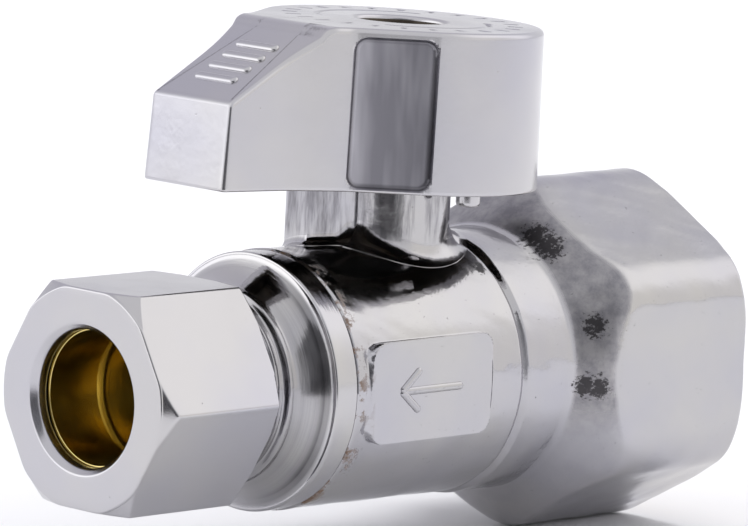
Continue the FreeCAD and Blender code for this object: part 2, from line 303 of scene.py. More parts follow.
def plate(name, look):
    # bright plate: two close tints mixed by a slow noise, a slow change of gloss, a fine orange peel, fine
    # polishing lines along one direction, and rare pits
    material, tree, add, shader, place = newFinish(name)
    slow = noise(add, place, look["tintScale"], 3, 0.55)
    tint = mixed(add, remap(add, slow, 0.35, 0.65, 0, 1), look["cool"], look["warm"])
    glossWearAndShadeBands = noise(add, place, look["glossScale"], 4, 0.6)
    gloss = remap(add, glossWearAndShadeBands, 0.3, 0.7, look["glossy"], look["dull"])
    pitCell = add("TexVoronoi", Vector=place, Scale=look["pitScale"]).outputs["Distance"]
    pitSpread = remap(add, noise(add, place, 430, 2), 0.62, 0.7, 0, 1)
    pits = times(add, remap(add, pitCell, 0.03, 0.09, 1, 0), pitSpread)
    marks = {"tint": tint, "gloss": gloss, "pits": pits, "metal": None}
    if "zones" in look:
        look["zones"](add, place, marks)
    pitted = mixed(add, times(add, marks["pits"], 0.55), marks["tint"], (0.12, 0.11, 0.11))
    tree.links.new(pitted, shader.inputs["Base Color"])
    tree.links.new(marks["gloss"], shader.inputs["Roughness"])
    if marks["metal"] is None:
        shader.inputs["Metallic"].default_value = 1
    else:
        tree.links.new(marks["metal"], shader.inputs["Metallic"])
    peel = relief(add, noise(add, place, look["peelScale"], 3, 0.55), 1, look["peel"] * mm)
    lines = relief(add, noise(add, place, 1, 3, 0.6, look["lines"]), 1, look["lineDepth"] * mm, peel)
    sunk = relief(add, pits, 1, -0.02 * mm, lines)
    tree.links.new(sunk, shader.inputs["Normal"])
    return material


def radiusFromAxis(add, place):  # distance from the flow axis, in metres
    parts = add("SeparateXYZ", Vector=place).outputs
    flat = add("CombineXYZ", X=parts["X"], Z=parts["Z"]).outputs[0]
    return add("VectorMath", {"operation": "LENGTH"}, i0=flat).outputs["Value"]


def spotMask(add, place, centre, size, speckle):
    # a ragged patch: 1 at its centre, fading to 0 at its size, then cut up by a noise
    middle = [c * mm for c in (centre[0], centre[1] + ballY, centre[2])]
    away = add("VectorMath", {"operation": "DISTANCE"}, i0=place, i1=middle).outputs["Value"]
    near = remap(add, away, 0.25 * size * mm, size * mm, 1, 0)
    both = add("Math", {"operation": "MULTIPLY_ADD"}, i0=near, i1=0.85, i2=speckle).outputs[0]
    return remap(add, both, 0.92, 1.12, 0, 0.92)


def softFinish(name, look):  # a moulded polymer or rubber: slow shade changes and a fine grain
    material, tree, add, shader, place = newFinish(name)
    shade = remap(add, noise(add, place, look["shadeScale"], 4, 0.6), 0.3, 0.7, 0, 1)
    tree.links.new(mixed(add, shade, look["dark"], look["light"]), shader.inputs["Base Color"])
    rough = remap(add, noise(add, place, 900, 3), 0.3, 0.7, look["glossy"], look["dull"])
    tree.links.new(rough, shader.inputs["Roughness"])
    tree.links.new(relief(add, noise(add, place, look["grainScale"], 3), 1, look["grain"] * mm),
                   shader.inputs["Normal"])
    return material


castBody = {
    "columns": 384, "outerRings": 150, "jointBevel": 0.12, "grooveHalf": 0.35, "groove": 4.95,
    "hexRoot": 10.0, "barrel": 9.6, "barrelEnd": 9.74, "arrowRise": 0.2,
    "arrowBars": ((0.0, 0.0, 3.1, 0.0), (-2.3, 0.75, 1.25, 40.0), (-2.3, -0.75, 1.25, -40.0)),
    "ring": 9.92, "corner": 3.9, "coneSlope": 0.9, "rearCircle": 12.75, "rearSlope": 1.687,
    "padX": 9.75, "padY": -4.8, "padZ": 0.15, "padHalfLength": 6.3, "padHalfHeight": 3.85,
    "padCorner": 1.2, "padFade": 0.3, "skin": 0.1, "mouth": 10.75, "mouthDepth": 1.55, "thread": 9.2,
    "threadLength": 12.6, "threadDepth": 0.85, "threadPitch": 25.4 / 14, "waterway": 3.6, "cavity": 7.0,
    "cavityHalf": 7.25, "counterbore": 8.06, "coneBand": (0.2, 0.42), "coneRun": 0.3,
    # the cone's two painted shade colours, and how its painted shade fades underneath
    "coneUnder": (-5.0, -2.0), "paintedConeShadeDark": (0.26, 0.255, 0.275), "paintedConeShadePale": (0.4, 0.39, 0.4),
    # streak: the colour of painted dark reflection streaks on the neck
    "neckFoot": (9.6, 10.6), "neckBehind": (8.2, 7.8), "paintedNeckStreak": (0.13, 0.125, 0.14),
    # rough: the painted dark reflection on the rough patches
    "rough": (0.05, 0.047, 0.05), "bareRadius": (9.1, 10.9), "bareFrom": (11.8, 12.2),
    "brass": (0.66, 0.47, 0.2), "stainReach": (0.1, 1.7), "stain": (0.15, 0.075, 0.03),
    "roughPatchesPaintedDark": [
        ((4.7, 10.7, 9.8), 1.9), ((5.9, 10.9, 9.1), 1.9), ((10.6, 11.4, 3.7), 1.5),
        ((10.5, 10.8, -0.8), 1.4), ((11.0, 11.6, -0.9), 1.5), ((5.6, 3.8, 7.9), 1.0),
        ((6.2, 14.0, -11.6), 1.4),
    ],
}


def castMarks(add, place, marks):
    # painted dark reflection on rough speckled patches, a duller cone with painted shade at the hexagon's
    # root, painted dark streaks of reflection down the neck, bare brass in the inlet, brown stains along
    # the connector joint
    c = castBody
    fine = noise(add, place, 1, 5, 0.75, (2600, 1700, 3400))
    speckle = remap(add, fine, 0.32, 0.68, 0, 1)
    dark = None
    # rough speckled patches, painted dark as a reflection
    for centre, size in c["roughPatchesPaintedDark"]:
        patch = spotMask(add, place, centre, size, speckle)
        dark = patch if dark is None else larger(add, dark, patch)
    parts = add("SeparateXYZ", Vector=place).outputs
    onCone = add("Math", {"operation": "MULTIPLY_ADD"}, i0=parts["Y"], i1=c["coneSlope"],
                 i2=(c["ring"] - c["coneSlope"] * (c["hexRoot"] + ballY)) * mm).outputs[0]
    offCone = add("Math", {"operation": "SUBTRACT"}, i0=radiusFromAxis(add, place), i1=onCone).outputs[0]
    offCone = add("Math", {"operation": "ABSOLUTE"}, i0=offCone).outputs[0]
    root, joint = c["hexRoot"] + ballY, partingY + ballY
    pastRoot = remap(add, parts["Y"], root * mm, (root + c["coneRun"]) * mm, 0, 1)
    # the duller cone at the hexagon's root, also painted darker as shade, less so underneath
    coneDullAndShaded = times(add, remapMm(add, offCone, c["coneBand"], 1, 0), pastRoot)
    coneDullAndShaded = times(add, coneDullAndShaded, remapMm(add, parts["Z"], c["coneUnder"], 0.2, 1))
    alongJoint = remapMm(add, parts["Y"], [joint + reach for reach in c["stainReach"]], 1, 0)
    stainNoise = noise(add, place, 520, 4, 0.7)
    stain = times(add, alongJoint, remap(add, stainNoise, 0.53, 0.6, 0, 1))
    bore = remapMm(add, radiusFromAxis(add, place), c["bareRadius"], 1, 0)
    inletSide = remapMm(add, parts["Y"], [y + ballY for y in c["bareFrom"]], 0, 1)
    bare = times(add, bore, inletSide)
    mottle = remap(add, noise(add, place, 700, 4, 0.7), 0.35, 0.65, 0, 1)
    # painted shade colours of the cone
    coneShade = mixed(add, mottle, c["paintedConeShadeDark"], c["paintedConeShadePale"])
    tint = mixed(add, coneDullAndShaded, marks["tint"], coneShade)
    # painted dark streaks of reflection down the neck
    streaks = noise(add, place, 1, 4, 0.7, (900, 900, 130))
    onNeck = times(add, remapMm(add, parts["Z"], c["neckFoot"], 0, 1),
                   remapMm(add, parts["Y"], [y + ballY for y in c["neckBehind"]], 0, 1))
    drawn = times(add, onNeck, remap(add, streaks, 0.42, 0.64, 0, 0.75))
    tint = mixed(add, drawn, tint, c["paintedNeckStreak"])
    # the patches' painted dark reflection
    tint = mixed(add, dark, tint, c["rough"])
    tint = mixed(add, bare, tint, c["brass"])
    marks["tint"] = mixed(add, times(add, stain, 0.9), tint, c["stain"])
    rough = larger(add, times(add, dark, 0.4), times(add, coneDullAndShaded, 0.34))
    rough = larger(add, rough, times(add, stain, 0.55))
    marks["gloss"] = larger(add, larger(add, marks["gloss"], rough), times(add, bare, 0.3))
    marks["metal"] = remap(add, stain, 0, 1, 1, 0.05)


bodyChrome = plate("bodyChrome", {
    "cool": (0.49, 0.485, 0.525), "warm": (0.54, 0.53, 0.525), "tintScale": 90, "glossScale": 160,
    "glossy": 0.07, "dull": 0.19, "pitScale": 900, "peelScale": 620, "peel": 0.036,
    "lines": (700, 2600, 700), "lineDepth": 0.0015, "zones": castMarks})


def barrelRadius(station):
    # the barrel's straight outline: a bevel at the joint, a slight taper, a groove and a ring
    c = castBody
    bevel, half, groove = c["jointBevel"], c["grooveHalf"], c["groove"]
    return np.interp(station, [partingY, partingY + bevel, groove - half, groove, groove + half],
                     [c["barrel"] - bevel, c["barrel"], c["barrelEnd"], c["barrel"], c["ring"]])


def bodyRadius(angle, station):
    # distance from the flow axis: the larger of the barrel and of the hexagon, where the hexagon is cut
    # down by a cone at its root and a steep cone at the inlet's face, then the side pads, and the cast
    # skin's sag
    c = castBody
    hexagon = hexagonRadius(angle, bodyHigh[0], c["corner"], math.pi / 2)
    root = c["ring"] + c["coneSlope"] * (station - c["hexRoot"])
    rear = c["rearCircle"] + c["rearSlope"] * (inletY - station)
    outside = softMin(softMin(hexagon, root, 0.75), rear, 0.5)
    radius = softMax(barrelRadius(station), outside, 0.45)
    fromSide = np.abs((angle + math.pi / 2) % math.pi - math.pi / 2)
    level = c["padX"] * np.tan(np.minimum(fromSide, 0.9)) * np.sign(np.sin(angle))
    along, across = station - c["padY"], level - c["padZ"]
    pad = c["padX"] / np.cos(np.minimum(fromSide, 0.9))
    inside = boxDistance(along, across, c["padHalfLength"], c["padHalfHeight"], c["padCorner"])
    lift = smoothStep(c["padFade"] / 2, -c["padFade"] / 2, inside)
    radius = radius + np.maximum(pad - radius, 0) * lift
    sag = casting(radius * np.cos(angle), station, radius * np.sin(angle), c["skin"])
    return radius - sag * (1 - lift) * smoothStep(partingY, partingY + 1.5, station)


def bodyShell():
    c = castBody
    padEdges = [-0.37, 0.40, math.pi - 0.40, math.pi + 0.37]
    angle = clustered(-math.pi / 2, 1.5 * math.pi, c["columns"] + 1, padEdges, 0.16, 2.2)[:-1][None]
    angle = np.where(angle > math.pi, angle - 2 * math.pi, angle)
    spots = [partingY + 0.1, c["padY"] - c["padHalfLength"], c["padY"] + c["padHalfLength"], c["groove"],
             c["hexRoot"], inletY - 0.6]
    station = clustered(partingY, inletY, c["outerRings"], spots, 0.7, 3.0)[:, None]
    rings = [aroundY(bodyRadius(angle, station), angle, station)]
    threadTop = inletY - c["mouthDepth"]
    threadEnd = threadTop - c["threadLength"]
    rim = bodyRadius(angle, np.full_like(angle, inletY))
    for share in (0.06, 0.5, 1.0):
        rings.append(aroundY(rim + (c["mouth"] - rim) * share, angle, inletY))
    rows = np.linspace(threadTop, threadEnd, 54)[:, None]
    fade = smoothStep(threadTop, threadTop - 0.6, rows) * smoothStep(threadEnd, threadEnd + 2.2, rows)
    cut = turnGroove(angle, rows, c["threadPitch"]) * fade * c["threadDepth"]
    rings.append(aroundY(c["thread"] + cut, angle, rows))
    for radius, y in [(c["waterway"] + 0.1, threadEnd - 3.2), (c["waterway"], threadEnd - 3.6),
                      (c["waterway"], c["cavityHalf"] + 0.05), (c["cavity"], c["cavityHalf"]),
                      (c["cavity"], -c["cavityHalf"]), (c["counterbore"], -c["cavityHalf"] - 0.02),
                      (c["counterbore"], partingY)]:
        rings.append(aroundY(np.full_like(angle, radius), angle, y))
    return np.concatenate(rings)


neckTweaks = {
    "columns": 260, "radius": 4.35, "tabAngle": -106.1, "tabReach": 8.0, "tabHalf": 1.75,
    "tabTop": 16.2, "fillet": 1.9, "tabFillet": 0.8, "bore": 3.05, "edge": 0.25,
}


def evenly(outline, count):
    # points a count of equal steps along a closed outline, with its outward normals
    closed = np.concatenate([outline, outline[:1]])
    along = np.concatenate([[0], np.cumsum(np.linalg.norm(np.diff(closed, axis=0), axis=1))])
    at = np.linspace(0, along[-1], count, endpoint=False)
    points = np.stack([np.interp(at, along, closed[:, k]) for k in (0, 1)], axis=-1)
    ahead = np.roll(points, -1, axis=0) - np.roll(points, 1, axis=0)
    normal = np.stack([ahead[:, 1], -ahead[:, 0]], axis=-1)
    return points, normal / np.linalg.norm(normal, axis=1)[:, None]


def neckShell():
    # the neck's plan is the larger of a circle and of the tab's rectangle, as a radius for each direction.
    # Its foot is the track of a ball that rolls round the neck and touches the barrel: the ball's centre is
    # one ball radius out from the plan and from the barrel, and the foot is the arc between the two points
    # that it touches
    n = neckTweaks
    turn = np.linspace(-math.pi, math.pi, 4000, endpoint=False)
    off = (turn - math.radians(n["tabAngle"]) + math.pi) % (2 * math.pi) - math.pi
    forward = np.maximum(np.cos(off), 1e-3)
    tab = softMin(n["tabReach"] / forward, n["tabHalf"] / np.maximum(np.abs(np.sin(off)), 1e-3), 0.35)
    tab = np.where(np.cos(off) > 0, tab, 0)
    plan = softMax(tab, np.full_like(tab, n["radius"]), 0.5)
    outline = np.stack([plan * np.cos(turn), plan * np.sin(turn)], axis=-1)
    wall, normal = evenly(outline, n["columns"])
    out = np.linalg.norm(wall, axis=1)
    onTab = smoothStep(n["radius"] + 0.4, n["radius"] + 1.6, out)
    ball = n["fillet"] + (n["tabFillet"] - n["fillet"]) * onTab
    centre = wall + normal * ball[:, None]
    barrel = barrelRadius(centre[:, 1]) - 0.02
    height = np.sqrt((barrel + ball) ** 2 - centre[:, 0] ** 2)
    middle = np.stack([centre[:, 0], centre[:, 1], height], axis=-1)
    shrink = barrel / (barrel + ball)
    touch = np.stack([centre[:, 0] * shrink, centre[:, 1], height * shrink], axis=-1)
    top = np.stack([wall[:, 0], wall[:, 1], height], axis=-1)
    low, high = touch - middle, top - middle
    span = np.arccos(np.clip(np.sum(low * high, axis=1) / ball ** 2, -1, 1))
    share = np.linspace(0, 1, 15)[:, None]
    arc = (np.sin((1 - share) * span)[..., None] * low + np.sin(share * span)[..., None] * high)
    foot = middle + arc / np.sin(span)[None, :, None]
    under = touch * np.array([0.9, 1, 0.9])
    ceiling = neckTop - (neckTop - n["tabTop"]) * onTab
    rings = [under[None], foot]
    for share in np.linspace(0.06, 1, 16):
        z = height + (ceiling - n["edge"] - height) * share
        rings.append(np.stack([wall[:, 0], wall[:, 1], z], axis=-1)[None])
    for bend in np.linspace(0.2, 1, 5) * math.pi / 2:
        inset = wall - normal * n["edge"] * (1 - math.cos(bend))
        z = ceiling - n["edge"] * (1 - math.sin(bend))
        rings.append(np.stack([inset[:, 0], inset[:, 1], z], axis=-1)[None])
    turnHere = np.arctan2(wall[:, 1], wall[:, 0])
    for radius, z in [(n["radius"] - 0.35, neckTop), (n["bore"] + 0.2, neckTop), (n["bore"], neckTop - 0.2),
                      (n["bore"], 9.0), (n["bore"], 6.5)]:
        rings.append(aroundZ(radius, turnHere, z)[None])
    return np.concatenate(rings)


def arrowShells():
    # a plain arrow of three raised bars on each side pad, pointing along the flow to the outlet
    c = castBody
    shells = []
    for side in (-1, 1):
        for y, z, halfLength, lean in c["arrowBars"]:
            lean = math.radians(lean)
            along = np.array([0, math.cos(lean), math.sin(lean)])
            across = side * np.array([0, -math.sin(lean), math.cos(lean)])
            middle = (side * c["padX"], c["padY"] + y, c["padZ"] + z)
            shells.append((raisedBar(middle, along, across, halfLength, 0.3, c["arrowRise"]), 0))
    return shells


valveCasting = makePiece("valveCasting", [(bodyShell(), 0), (neckShell(), 0)] + arrowShells(), [bodyChrome])
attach(valveCasting, "valve")
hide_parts("valve_body")
print("body made")

connectorTweaks = {
    "columns": 208, "step": 0.16, "flange": 9.5, "flangeFront": -14.4, "neck": 7.25, "thread": 7.14,
    "threadStart": -17.7, "threadDepth": 0.55, "threadPitch": 25.4 / 24, "waterway": 3.6, "socket": 4.8,
    "shoulder": -16.0, "plug": 8.0, "plugEnd": 4.9, "plugSeal": 6.8, "sealFrom": 0.7, "sealTo": 2.0,
    "coveReach": 1.9, "coveDepth": 1.95, "coveBow": 0.16, "neckEnd": -16.9, "reliefStart": -17.15,
    "reliefDepth": 0.35, "cutAbove": 6.7, "mouth": 6.0, "mouthTaper": 2.08, "bareRadius": (5.9, 6.3),
    "brass": (0.70, 0.56, 0.19), "turnedFrom": (8.0, 8.6), "turnedTo": (9.1, 9.2),
    # the side and the colour of the painted dark reflection on the flange's front
    "paintedDarkSide": (1.5, 6.5), "latheRingsPaintedDark": (0.045, 0.043, 0.05),
}


def connectorMarks(add, place, marks):
    # bare brass inside, and on the front of the flange towards +X a painted dark reflection, broken by
    # lathe lines as rings about the flow axis
    c = connectorTweaks
    radius = radiusFromAxis(add, place)
    bare = remapMm(add, radius, c["bareRadius"], 1, 0)
    parts = add("SeparateXYZ", Vector=place).outputs
    front = c["flangeFront"] + ballY
    rings = noise(add, add("CombineXYZ", X=radius, Y=times(add, parts["Y"], 0.6)).outputs[0], 4200, 3, 0.6)
    smear = noise(add, place, 260, 3, 0.6)
    outer = times(add, remapMm(add, radius, c["turnedFrom"], 0.45, 1),
                  remapMm(add, radius, c["turnedTo"], 1, 0))
    nearSide = times(add, remapMm(add, parts["X"], c["paintedDarkSide"], 0.1, 1),
                     remapMm(add, parts["Y"], (front - 0.05, front - 0.2), 0, 1))
    # painted dark reflection on the front of the flange, broken by lathe rings
    latheRingsPaintedDark = times(add, times(add, outer, nearSide), remap(add, rings, 0.3, 0.66, 1, 0.5))
    latheRingsPaintedDark = times(add, latheRingsPaintedDark, remap(add, smear, 0.3, 0.7, 1, 0.75))
    tint = mixed(add, latheRingsPaintedDark, marks["tint"], c["latheRingsPaintedDark"])
    marks["tint"] = mixed(add, bare, tint, c["brass"])
    marks["gloss"] = larger(add, marks["gloss"], times(add, bare, 0.22))


connectorChrome = plate("connectorChrome", {
    "cool": (0.52, 0.515, 0.55), "warm": (0.58, 0.57, 0.565), "tintScale": 120, "glossScale": 260,
    "glossy": 0.08, "dull": 0.2, "pitScale": 1000, "peelScale": 900, "peel": 0.004,
    "lines": (260, 3800, 260), "lineDepth": 0.016, "zones": connectorMarks})


def connectorShell():  # an outline turned about the flow axis, with the thread cut into it
    c = connectorTweaks
    front = c["flangeFront"]
    bow = [(t, c["coveBow"] * 4 * t * (1 - t)) for t in np.linspace(0, 1, 12)]
    cove = [(c["flange"] - 0.35 - c["coveReach"] * t - sunk, front - c["coveDepth"] * t + sunk, 0)
            for t, sunk in bow]
    relief = c["thread"] - c["reliefDepth"]
    plugEnd, sealFrom, sealTo = (partingY + c[key] for key in ("plugEnd", "sealFrom", "sealTo"))
    plug = [(c["plug"], plugEnd, 0), (c["plug"], sealTo, 0.1), (c["plugSeal"], sealTo, 0.1),
            (c["plugSeal"], sealFrom, 0.1), (c["plug"], sealFrom, 0.1), (c["plug"], partingY, 0.05)]
    flange = [(c["flange"], partingY, 0.1), (c["flange"], front, 0.22)] + cove
    nipple = [(c["neck"], c["neckEnd"], 0.1), (relief, c["reliefStart"], 0.1),
              (relief, c["threadStart"] + 0.05, 0.1), (c["thread"], c["threadStart"] - 0.3, 0.05),
              (c["thread"], nippleY + 0.6, 0.1), (c["thread"] - 0.55, nippleY, 0.06),
              (c["mouth"], nippleY, 0.1)]
    inside = [(c["socket"], nippleY + c["mouthTaper"], 0.3), (c["socket"], c["shoulder"], 0.12),
              (c["waterway"], c["shoulder"], 0.12), (c["waterway"], plugEnd, 0)]
    outline = roundedOutline(plug + flange + nipple + inside, c["step"])
    angle = np.linspace(0, 2 * math.pi, c["columns"], endpoint=False)[None]
    radius, station = outline[:, :1], outline[:, 1:]
    onThread = smoothStep(c["threadStart"], c["threadStart"] - 0.7, station) * (radius > c["cutAbove"])
    cut = turnGroove(angle, station, c["threadPitch"]) * onThread * c["threadDepth"]
    return aroundY(radius - cut, angle, station)


turnedConnector = makePiece("turnedConnector", [(connectorShell(), 0)], [connectorChrome])
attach(turnedConnector, "valve")
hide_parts("outlet_connector")
print("connector made")

nutTweaks = {
    "columns": 300, "corner": 0.3, "faceCircle": 8.05, "faceSlope": 1.19, "backCircle": 8.0,
    "backSlope": 1.73, "softness": 0.14, "edge": 0.16, "hole": 4.95, "holeDepth": 1.2, "holeEdge": 0.5,
    "faceStart": 0.8, "bore": 7.2, "boreEnd": 3.4, "threadFull": 4.2, "threadDepth": 0.5, "step": 0.11,
}
nutChrome = plate("nutChrome", {
    "cool": (0.52, 0.515, 0.56), "warm": (0.565, 0.555, 0.56), "tintScale": 70, "glossScale": 120,
    "glossy": 0.12, "dull": 0.24, "pitScale": 1100, "peelScale": 600, "peel": 0.008,
    "lines": (900, 4200, 900), "lineDepth": 0.002})


def nutShell():
    # outside: the smaller of a hexagon and of a cone at each end. The front's sharp edge is a quarter
    # circle
    n = nutTweaks
    corners = [k * math.pi / 3 for k in range(-3, 4)]
    angle = clustered(-math.pi, math.pi, n["columns"] + 1, corners, 0.05, 7.0)[:-1][None]
    halfFlats = nutHigh[2]

    def outer(station):
        hexagon = hexagonRadius(angle, halfFlats, n["corner"], 0)
        faced = n["faceCircle"] + n["faceSlope"] * (station - nutFront)
        backed = n["backCircle"] + n["backSlope"] * (nutBack - station)
        return softMin(softMin(hexagon, faced, n["softness"]), backed, n["softness"])

    rings = []
    boreEnd, faceStart = nutFront + n["boreEnd"], n["hole"] + n["faceStart"]
    hole = roundedOutline([
        (n["bore"], nutBack - 0.4, 0), (n["bore"], boreEnd, 0.3),
        (n["hole"], nutFront + n["holeDepth"], 0.12), (n["hole"], nutFront + n["holeEdge"], 0.25),
        (n["hole"] + n["holeEdge"], nutFront, 0.12), (faceStart, nutFront, 0)], n["step"])
    station = hole[:, 1:]
    runOut = smoothStep(boreEnd, nutFront + n["threadFull"], station)
    onThread = smoothStep(nutBack, nutBack - 1, station) * runOut
    cut = turnGroove(angle, station, connectorTweaks["threadPitch"]) * onThread * n["threadDepth"]
    rings.append(aroundY(hole[:, :1] + cut, angle, station))
    edge = n["edge"]
    start = outer(nutFront + edge)
    for share in (0.25, 0.5, 0.75):
        rings.append(aroundY(faceStart + (start - edge - faceStart) * share, angle, nutFront))
    for bend in np.linspace(0, 1, 6) * math.pi / 2:
        radius = start - edge * (1 - math.sin(bend))
        rings.append(aroundY(radius, angle, nutFront + edge * (1 - math.cos(bend))))
    stations = clustered(nutFront + edge, nutBack - edge, 64, [nutFront + 0.3, nutBack - 0.3], 0.6, 5)
    stations = stations[1:-1, None]
    rings.append(aroundY(outer(stations), angle, stations))
    finish = outer(nutBack - edge)
    for bend in np.linspace(0, 1, 6) * math.pi / 2:
        radius = finish - edge * (1 - math.cos(bend))
        rings.append(aroundY(radius, angle, nutBack - edge * (1 - math.sin(bend))))
    rings.append(aroundY(np.full_like(angle, n["bore"] + 0.45), angle, nutBack))
    return np.concatenate([r.reshape(-1, n["columns"], 3) for r in rings])


compressionNut = makePiece("compressionNut", [(nutShell(), 0)], [nutChrome])
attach(compressionNut, "nut")
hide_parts("compression_nut")
print("nut made")

sleeveTweaks = {"columns": 160, "outer": 5.65, "inner": 4.84, "frontLip": 0.26, "frontTaper": 0.8,
                "taperStart": -26.6, "backLip": 0.16}
turnedBrass = plate("turnedBrass", {
    "cool": (0.72, 0.57, 0.19), "warm": (0.80, 0.65, 0.27), "tintScale": 150, "glossScale": 300,
    "glossy": 0.12, "dull": 0.26, "pitScale": 1300, "peelScale": 900, "peel": 0.003,
    "lines": (300, 6000, 300), "lineDepth": 0.004})


def sleeveShell():  # a ring with a taper at each end, turned about the flow axis
    s = sleeveTweaks
    front, back = sleeveLow[1], sleeveHigh[1]
    outline = roundedOutline([
        (s["inner"], front + 0.5, 0), (s["inner"], front, 0.08), (s["inner"] + s["frontLip"], front, 0.1),
        (s["outer"], front + s["frontTaper"], 0.2), (s["outer"], s["taperStart"], 0.4),
        (s["inner"] + s["backLip"], back, 0.06), (s["inner"], back, 0)], 0.1)
    angle = np.linspace(0, 2 * math.pi, s["columns"], endpoint=False)[None]
    return aroundY(outline[:, :1], angle, outline[:, 1:])


brassSleeve = makePiece("brassSleeve", [(sleeveShell(), 0)], [turnedBrass])
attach(brassSleeve, "sleeve")
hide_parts("compression_sleeve")
print("sleeve made")

handleTweaks = {
    "rim": 14.05, "plateau": 25.9, "hub": 10.8, "leverEnd": -21.42, "endHalf": 4.22, "endCorner": 0.55,
    "knee": (4.4, -15.2), "flare": (5.8, -10.7), "hubStart": -30.0, "step": 0.19, "hubColumns": 84,
    "draft": math.tan(math.radians(1.6)), "endLean": 0.3, "endHeight": 20.41, "slope": 0.5804,
    "crease": (-12.95, -12.35), "creaseRise": 0.25, "crestWidth": 0.3, "noseUp": math.radians(2.0),
    "tiltHeight": 19.5, "edge": 0.42, "wall": 1.6, "ceiling": 1.8, "pocketDepth": 0.5,
    "pocketFloor": 0.8, "pocketLow": 0.22, "pocketHigh": 0.62, "pocketCorner": 1.0, "pocketEdge": 0.3,
    "hole": 3.45, "holeFloor": 20.6, "screwHole": 1.9, "socketHalf": 2.25, "socketTop": 19.1,
    "boss": 4.7, "bossBottom": 16.9, "markDepth": 0.12, "pin": 0.9, "pinBottom": 12.8, "pinTop": 24.6,
    "pinCircle": 7.0, "pinAngles": (7.0, -128.8), "bars": (-18.75, -17.45, -16.15, -14.85),
    "barHalf": 2.1, "barWidth": 0.42, "barHeight": 0.26, "ticks": 24, "tickCircle": 8.35,
    "tickHalf": (0.15, 0.5), "arcCircle": 6.4, "arcHalf": (6.2, 0.2), "lip": 0.18, "holeEdge": 0.3,
    "bossEdge": 0.3, "hollowHeight": 8, "leanHeight": 6,
}


def pocketFrame():
    # the flank pocket's axis along the skin, its inward normal, length, middle height and half height
    h = handleTweaks
    turn = math.radians(h["hubStart"])
    chord = h["hub"] * np.array([math.cos(turn), math.sin(turn)]) - np.array(h["flare"])
    length = float(np.linalg.norm(chord))
    along = chord / length
    low, high = h["rim"] + h["pocketLow"], h["plateau"] - h["pocketHigh"]
    return along, np.array([-along[1], along[0]]), length, (low + high) / 2, (high - low) / 2


def handleMarks(add, place, marks):
    # the flank pockets are painted darker than the skin as shade, in bands, with a thin painted dark line
    # of
    # shade round each: the distance to a rounded rectangle in the pocket's own frame, on either side of the
    # handle
    h = handleTweaks
    axis, _, length, middle, reach = pocketFrame()
    upright = add("VectorRotate", {"rotation_type": "X_AXIS"}, Vector=place,
                  Center=(0, ballY * mm, h["tiltHeight"] * mm), Angle=h["noseUp"]).outputs[0]
    parts = add("SeparateXYZ", Vector=upright).outputs
    side = add("Math", {"operation": "ABSOLUTE"}, i0=parts["X"]).outputs[0]
    across = times(add, side, float(axis[0]))
    start = float(np.dot(h["flare"], axis) + ballY * axis[1] + length / 2)
    along = add("Math", {"operation": "MULTIPLY_ADD"}, i0=parts["Y"], i1=float(axis[1]), i2=across)
    along = along.outputs[0]
    distances = []
    for value, centre, half in ((along, start, length / 2), (parts["Z"], middle, reach)):
        off = add("Math", {"operation": "SUBTRACT"}, i0=value, i1=centre * mm).outputs[0]
        size = add("Math", {"operation": "ABSOLUTE"}, i0=off).outputs[0]
        straight = (half - h["pocketCorner"]) * mm
        past = add("Math", {"operation": "SUBTRACT"}, i0=size, i1=straight).outputs[0]
        distances.append(larger(add, past, 0.0))
    corner = add("CombineXYZ", X=distances[0], Y=distances[1]).outputs[0]
    reached = add("VectorMath", {"operation": "LENGTH"}, i0=corner).outputs["Value"]
    edge = h["pocketCorner"] * mm
    inside = remap(add, reached, edge, edge - 0.12 * mm, 0, 1)
    front = remap(add, parts["Y"], (ballY - 4.9) * mm, (ballY - 5.1) * mm, 0, 1)
    inside = times(add, inside, front)
    paintedShadeLine = times(add, inside, remap(add, reached, edge - 0.45 * mm, edge - 0.15 * mm, 0, 1))
    # vertical bands in the pocket's painted shade
    glossWearAndShadeBands = remap(add, noise(add, place, 1, 3, 0.6, (330, 330, 50)), 0.38, 0.62, 0, 1)
    # the pocket's painted shade colours
    floor = mixed(add, glossWearAndShadeBands, (0.27, 0.265, 0.295), (0.5, 0.49, 0.53))
    tint = mixed(add, inside, marks["tint"], floor)
    # a thin painted dark line of shade round the pocket
    marks["tint"] = mixed(add, times(add, paintedShadeLine, 0.8), tint, (0.05, 0.048, 0.055))
    marks["gloss"] = larger(add, marks["gloss"], times(add, inside, 0.3))


def insideMarks(add, place, marks):  # the handle's hole and hollow are duller than its skin
    marks["gloss"] = larger(add, marks["gloss"], 0.42)


handleChrome = plate("handleChrome", {
    "cool": (0.525, 0.52, 0.57), "warm": (0.585, 0.575, 0.58), "tintScale": 60, "glossScale": 110,
    "glossy": 0.13, "dull": 0.25, "pitScale": 850, "peelScale": 420, "peel": 0.012,
    "lines": (2300, 2300, 260), "lineDepth": 0.0025, "zones": handleMarks})
# the handle's hole and hollow: an unplated duller inside, painted near-black as the shade in the hollow
handleInsidePaintedDark = plate("handleInsidePaintedDark", {
    "cool": (0.10, 0.095, 0.09), "warm": (0.16, 0.13, 0.10), "tintScale": 140, "glossScale": 300,
    "glossy": 0.3, "dull": 0.5, "pitScale": 700, "peelScale": 900, "peel": 0.03,
    "lines": (900, 900, 900), "lineDepth": 0.01, "zones": insideMarks})


